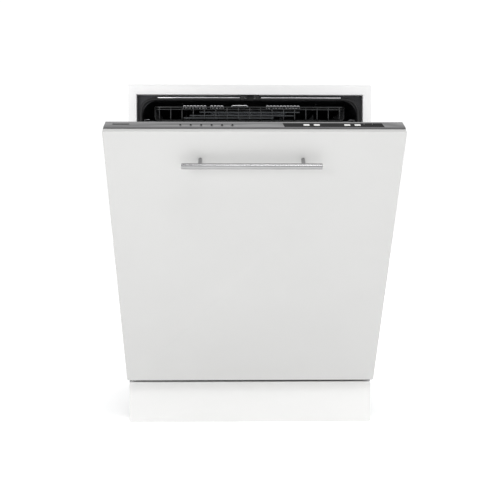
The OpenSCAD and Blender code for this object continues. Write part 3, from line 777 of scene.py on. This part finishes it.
# cutlery tray under the ceiling: close wires, low sides and five zigzag wires for the handles
mesh = bmesh.new()
low, high = Vector((-0.240, 0.040, 0.745)), Vector((0.240, 0.500, 0.781))
wire_basket(mesh, low, high, 22, 16, rim=0.0022, thin=0.0012, levels=1, corner=0.008)
for x in (-0.16, -0.08, 0.0, 0.08, 0.16):
    path = []
    for k in range(25):
        path += [(x, 0.056 + 0.018 * k, 0.748), (x, 0.065 + 0.018 * k, 0.764)]
    wire(mesh, bent(path[:-1], 0.004, steps=2), 0.0011)
# the tray's wires have their colour darkened as painted shade
piece("cutlery_tray_wires", mesh, nylon_painted_shade, "cutlery_tray", ["cutlery_tray", "tray_sides"],
      smooth=60)
mesh = bmesh.new()
for sign in (-1, 1):
    across = sorted((sign * 0.2365, sign * 0.2597))
    slab(mesh, (across[0], 0.066, 0.7375), (across[1], 0.498, 0.7465), 0.0014)
piece("cutlery_tray_runners", mesh, grey_pp, "cutlery_tray")

# polished rests along the tray's front rim and a grip beside the middle
rest_pitch = 0.0085
mesh = bmesh.new()
for first, last in ((-0.166, -0.103), (-0.098, -0.062), (0.042, 0.130)):
    for k in range(round((last - first) / rest_pitch)):
        x = first + rest_pitch * k
        wire(mesh, bent([(x, 0.0424, 0.776), (x, 0.0418, 0.7822), (x + 0.0058, 0.0418, 0.7822),
                         (x + 0.0058, 0.0424, 0.776)], 0.002, steps=2), 0.0011)
wire(mesh, bent([(-0.046, 0.0424, 0.778), (-0.044, 0.0410, 0.7828), (-0.006, 0.0410, 0.7828),
                 (-0.004, 0.0424, 0.778)], 0.004), 0.0016)
piece("tray_rim_rests", mesh, bright_wire, "cutlery_tray", smooth=60)

# three rods across the tray's front
mesh = bmesh.new()
for z, a, b in ((0.7575, -0.150, 0.110), (0.7515, -0.165, 0.060), (0.7660, -0.125, 0.125)):
    wire(mesh, [(a, 0.0412, z), (b, 0.0412, z)], 0.0017)
piece("tray_front_rods", mesh, nylon, "cutlery_tray", smooth=60)

# lower basket
mesh = bmesh.new()
low, high = Vector((-0.235, 0.040, 0.206)), Vector((0.235, 0.500, 0.390))
wire_basket(mesh, low, high, 14, 12, rim=0.0026, thin=0.0018)
for y in (0.170, 0.215, 0.260):
    rod(mesh, (-0.231, y, 0.2085), (0.231, y, 0.2085), 0.0022, 12)
    pin_row(mesh, [-0.175 + 0.05 * k for k in range(8)], y, 0.2085, 0.2868, 0.2877, 0.0023)
piece("lower_basket_wires", mesh, nylon, "lower_basket", "lower_basket", smooth=60)
eased("wheel_holders", "wheel_brackets", grey_pp, 0.0006)

tine_low, tine_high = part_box("folding_tines")
mesh = bmesh.new()
tine_y, tine_z = 0.330, 0.216
rod(mesh, (tine_low.x, tine_y, tine_z), (tine_high.x, tine_y, tine_z), 0.0028, 14)
pin_row(mesh, [-0.175 + 0.035 * k for k in range(11)], tine_y, tine_z, 0.2878, 0.2878, 0.0022)
piece("folding_tine_wires", mesh, nylon, "folding_tines", "folding_tines", smooth=60)

for name in ("wheels_front", "wheels_rear"):
    low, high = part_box(name)
    y, z, r = (low.y + high.y) / 2, (low.z + high.z) / 2, (high.z - low.z) / 2
    mesh = bmesh.new()
    for sign in (-1, 1):
        at = facing((sign * 0.216, y, z), (sign, 0, 0))
        turned(mesh, at, [(0.0042, 0), (0.0075, 0), (0.0075, 0.0025), (0.0135, 0.0030),
                          (0.0142, 0.0004), (r - 0.0014, 0.0), (r, 0.0012), (r, 0.0088),
                          (r - 0.0014, 0.01), (0.0142, 0.0096), (0.0135, 0.0070),
                          (0.0075, 0.0075), (0.0075, 0.01), (0.0042, 0.01), (0.0042, 0)], 36)
    piece(name + "_tyres", mesh, grey_pp, name, name, smooth=40)


def lattice_wall(mesh, low, high, along, cells, rows):
    """A thin moulded wall pierced by slots, between two corners."""
    low, high = Vector(low), Vector(high)
    pitch = (high[along] - low[along]) / cells
    step = (high.z - low.z) / rows
    thick = 1 - along
    for k in range(cells + 1):
        a, b = low.copy(), high.copy()
        a[along] = max(low[along], low[along] + pitch * k - 0.0010)
        b[along] = min(high[along], low[along] + pitch * k + 0.0010)
        slab(mesh, a, b)
    for k in range(rows + 1):
        a, b = low.copy(), high.copy()
        a.z = max(low.z, low.z + step * k - 0.0012)
        b.z = min(high.z, low.z + step * k + 0.0012)
        a[thick] += 0.0002
        b[thick] -= 0.0002
        slab(mesh, a, b)


low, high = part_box("cutlery_basket")
wall_t, rim_t = 0.0022, 0.0032
mesh = bmesh.new()
for y in (low.y, high.y - wall_t):
    lattice_wall(mesh, (low.x, y, low.z + 0.003), (high.x, y + wall_t, high.z - 0.004), 0, 28, 7)
for x in (low.x, high.x - wall_t):
    lattice_wall(mesh, (x, low.y, low.z + 0.003), (x + wall_t, high.y, high.z - 0.004), 1, 9, 7)
for k in (1, 2, 3):
    x = low.x + 0.0015 + k * 0.05425
    slab(mesh, (x - 0.0012, low.y + 0.002, low.z + 0.003),
         (x + 0.0012, high.y - 0.002, high.z - 0.006), 0.0004)
for k in range(15):
    x = low.x + 0.0155 * k + 0.0015
    slab(mesh, (x - 0.001, low.y, low.z), (x + 0.001, high.y, low.z + 0.003))
for k in range(6):
    y = low.y + 0.0136 * k + 0.001
    slab(mesh, (low.x, y - 0.001, low.z + 0.0004), (high.x, y + 0.001, low.z + 0.0034))
for a, b in (((low.x, low.y), (high.x, low.y + rim_t)),
             ((low.x, high.y - rim_t), (high.x, high.y)),
             ((low.x, low.y), (low.x + rim_t, high.y)),
             ((high.x - rim_t, low.y), (high.x, high.y))):
    slab(mesh, (*a, high.z - 0.006), (*b, high.z), 0.0009)
piece("cutlery_basket_lattice", mesh, grey_pp, "cutlery_basket", "cutlery_basket")

# ---------------------------------------------------------------- spray arms


def arm(name, source, reach, bottom, top, hub, width, count):
    """A flat hollow arm that tapers to its round tips, with a row of nozzles on each side."""
    hub_low, hub_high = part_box(source)
    mesh = bmesh.new()
    place = (Matrix.Translation((0, ARM_Y, (bottom + top) / 2))
             @ Matrix.Diagonal((2 * reach, width, top - bottom, 1)))
    bmesh.ops.create_cube(mesh, size=1, matrix=place)
    ends = [e for e in mesh.edges if abs((e.verts[0].co - e.verts[1].co).z) > 1e-6]
    rounded(mesh, ends, width * 0.34, 5)
    for k in range(1, 12):
        slice_at(mesh, 0, -reach + 2 * reach * k / 12)
    for v in mesh.verts:
        share = abs(v.co.x) / reach
        v.co.y = ARM_Y + (v.co.y - ARM_Y) * (1 - 0.28 * share * share)
    mesh.normal_update()
    rims = [e for e in mesh.edges if len(e.link_faces) == 2 and e.calc_face_angle(0) > 1.0]
    rounded(mesh, rims, 0.0022, 3)
    tall = hub_high.z - hub_low.z
    turned(mesh, upright(0, ARM_Y, hub_low.z), [
        (0, 0.0002), (hub * 0.82, 0.0002), (hub * 0.9, 0.0012), (hub, 0.003),
        (hub, tall - 0.002), (hub * 0.8, tall - 0.0002), (hub * 0.55, tall), (0, tall)], 36)
    for k in range(count):
        x = reach * (0.18 + 0.74 * k / (count - 1))
        for sign in (-1, 1):
            y = ARM_Y + sign * width * 0.2 * (1 if k % 2 else -1)
            turned(mesh, upright(sign * x, y, top - 0.0014),
                   [(0.0016, 0.0), (0.0044, 0.0), (0.0044, 0.0016), (0.0034, 0.0019),
                    (0.0016, 0.0019), (0.0016, 0.0)], 12)
    piece(name, mesh, grey_pp, source, source, smooth=40)


arm("lower_arm_shell", "lower_spray_arm", 0.225, 0.184, 0.1945, 0.025, 0.046, 7)
arm("upper_arm_shell", "upper_spray_arm", 0.222, 0.484, 0.4925, 0.020, 0.042, 7)
ceiling_low, ceiling_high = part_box("ceiling_spray_arm")
arm("ceiling_arm_shell", "ceiling_spray_arm", 0.105, ceiling_low.z + 0.001, ceiling_high.z - 0.0014,
    0.016, 0.028, 4)

# ---------------------------------------------------------------- door

mesh = bmesh.new()
board_shape(mesh, panel_low, panel_high, 0.004, 0.0012)
# the lacquer's base colour is greyed as painted shade
piece("kitchen_panel", mesh, lacquer_with_painted_shade, "door", "front_panel", SWING)

bar_low, bar_high = shut_box("handle_bar")
bar_y, bar_z = (bar_low.y + bar_high.y) / 2, (bar_low.z + bar_high.z) / 2
bar_r, bar_l = (bar_high.z - bar_low.z) / 2, bar_high.x - bar_low.x
mesh = bmesh.new()
turned(mesh, facing((bar_low.x, bar_y, bar_z), (1, 0, 0)), [
    (0, 0), (bar_r - 0.0007, 0), (bar_r, 0.0007), (bar_r, bar_l - 0.0007),
    (bar_r - 0.0007, bar_l), (0, bar_l)], 48)
piece("handle_round_bar", mesh, bar_steel, "door", "handle_bar", SWING)
post_low, post_high = shut_box("handle_posts")
mesh = bmesh.new()
post_r, depth = (post_high.z - post_low.z) / 2, panel_low.y - bar_y
for x in (post_low.x + post_r, post_high.x - post_r):
    turned(mesh, facing((x, panel_low.y, bar_z), (0, -1, 0)), [
        (0, 0), (post_r - 0.0001, 0), (post_r, 0.0004), (post_r, 0.0028),
        (post_r - 0.0004, 0.0032), (post_r - 0.0004, 0.0036), (post_r, 0.004),
        (post_r, depth - 0.003), (0, depth - 0.003)], 28)
piece("handle_standoffs", mesh, bar_steel, "door", "handle_posts", SWING)

eased("control_strip", "control_fascia", strip_steel, 0.00035)

# the window: flush with the strip, its short sides leaning a little to the left
win_a, win_b, lean = Vector((0.0585, 0.0005)), Vector((0.2565, 0.0275)), 0.0025
mesh = bmesh.new()
slab(mesh, (win_a.x - lean / 2, win_a.y, -0.0014), (win_b.x - lean / 2, win_b.y, 0.0))
shear = Matrix.Identity(4)
shear[0][1] = -lean / (win_b.y - win_a.y)
shift = Matrix.Translation((0, -(win_a.y + win_b.y) / 2, 0))
bmesh.ops.transform(mesh, matrix=shift.inverted() @ shear @ shift, verts=mesh.verts[:])
piece("display_glass", mesh, window, "door", "display_module", STRIP)
for k in range(4):
    eased(f"key_{k + 1}_cap", f"key_{k + 1}", key_white, 0.0009, steps=3)

# six lenses in a row
lens_x, lens_pitch, lens_y = -0.147, 0.0206, 0.014
mesh = bmesh.new()
for k in range(6):
    turned(mesh, upright(lens_x + lens_pitch * k, lens_y, 0), [
        (0, -0.004), (0.0021, -0.004), (0.0021, 0.0003), (0.0016, 0.0011), (0, 0.0014)], 16)
piece("program_lights", mesh, lens, "door", "indicator_lights", STRIP)
mesh = bmesh.new()
for x in (0.2186, 0.2346):
    turned(mesh, upright(x, 0.022, -0.0002), [(0, 0.0003), (0.0007, 0.0003), (0.0008, 0.0)], 14)
piece("display_lamps", mesh, key_white, "door", place=STRIP)
mesh = bmesh.new()
board_shape(mesh, (-0.2816, 0.0170, -0.0002), (-0.2481, 0.0200, 0.0005), 0.001, 0, along=2)
piece("plain_line", mesh, ink, "door", place=STRIP)

# the circuit board under the strip, with five chips and four posts
mesh = bmesh.new()
slab(mesh, (0.030, 0.006, -0.009), (0.270, 0.029, -0.0074), 0.0002)
for x, y, wide, deep in ((0.06, 0.012, 0.012, 0.008), (0.09, 0.020, 0.009, 0.009),
                         (0.15, 0.014, 0.014, 0.01), (0.215, 0.018, 0.007, 0.007),
                         (0.245, 0.012, 0.01, 0.006)):
    slab(mesh, (x, y, -0.0076), (x + wide, y + deep, -0.0062), 0.0003)
for x in (0.040, 0.264):
    for y in (0.010, 0.025):
        rod(mesh, (x, y, -0.0075), (x, y, -0.0019), 0.002, 14)
piece("control_board_module", mesh, board, "door", place=STRIP)
eased("outer_plate", "outer_door_plate", zinc, 0.0003)


def door_inner_face():
    """The deep-drawn inner face: a rounded tray, open for the dispenser, with shallow fields."""
    low, high = shut_box("inner_door_liner")
    rim_y = low.y
    made = bmesh.new()
    board_shape(made, (-0.252, rim_y, low.z), (0.252, high.y, 0.785), 0.030, 0)
    made.normal_update()
    front = [f for f in made.faces
             if f.normal.y < -0.9 or abs(f.calc_center_median().y - rim_y) < 1e-5]
    bmesh.ops.delete(made, geom=front, context="FACES")
    face = [f for f in made.faces if f.normal.y > 0.9]
    rounded(made, {e for f in face for e in f.edges}, 0.006, 4)
    for axis, at in ((0, -0.095), (0, 0.095), (2, 0.430), (2, 0.570), (0, -0.205), (0, 0.205),
                     (2, 0.175), (2, 0.385), (2, 0.615), (2, 0.735)):
        slice_at(made, axis, at)
    made.normal_update()

    def field(x0, x1, z0, z1):
        """Faces of the tray's floor inside a rectangle."""
        return [f for f in made.faces if f.normal.y > 0.9
                and x0 < f.calc_center_median().x < x1 and z0 < f.calc_center_median().z < z1]

    bmesh.ops.delete(made, geom=field(-0.095, 0.095, 0.430, 0.570), context="FACES")
    for z0, z1 in ((0.175, 0.385), (0.615, 0.735)):
        bmesh.ops.inset_region(made, faces=field(-0.205, 0.205, z0, z1), thickness=0.008,
                               depth=-0.0014, use_even_offset=True)
    bmesh.ops.solidify(made, geom=made.faces[:], thickness=0.001)
    slab(made, (low.x, rim_y, low.z + 0.010), (-0.2505, rim_y + 0.001, high.z), 0.0003)
    slab(made, (0.2505, rim_y, low.z + 0.010), (high.x, rim_y + 0.001, high.z), 0.0003)
    slab(made, (-0.2505, rim_y, 0.7836), (0.2505, rim_y + 0.001, high.z), 0.0003)
    return made


piece("door_inner_tray", door_inner_face(), liner_steel, "door", "inner_door_liner",
      SWING, smooth=40)

eased("dispenser_body", "detergent_dispenser", grey_pp, 0.0008)
low, high = shut_box("detergent_lid")
mesh = bmesh.new()
board_shape(mesh, (low.x, 0.0178, 0.4465), (high.x, 0.0203, 0.556), 0.006, 0.0008)
rod(mesh, (-0.080, 0.0203, 0.445), (-0.005, 0.0203, 0.445), 0.0023, 16)
slab(mesh, (-0.054, 0.0198, 0.540), (-0.031, 0.0219, 0.5535), 0.0009)
for k in range(5):
    slab(mesh, (-0.076, 0.0199, 0.466 + 0.014 * k), (-0.009, 0.0207, 0.469 + 0.014 * k), 0.0003)
piece("detergent_flap", mesh, grey_pp, "detergent_lid", "detergent_lid", SWING)
cap_place = SWING @ facing((0.050, 0.004, 0.500), (0, 1, 0))
mesh = bmesh.new()
turned(mesh, Matrix.Identity(4), [
    (0, 0), (0.0139, 0), (0.0139, 0.0136), (0.0192, 0.0140), (0.020, 0.0148), (0.020, 0.0162),
    (0.0192, 0.0170), (0, 0.0171)], 36)
slab(mesh, (-0.018, -0.003, 0.0165), (0.018, 0.003, 0.020), 0.0009)
rods_round(mesh, 0, 0, 20, 0.0004, (0.0198, 0.0145), (0.0198, 0.0165))
piece("rinse_cap", mesh, blue, "rinse_aid_cap", "rinse_aid_cap", cap_place)
eased("latch_lever", "latch_hook", plated, 0.0004)
eased("bottom_lip", "door_bottom_seal", rubber, 0.002)
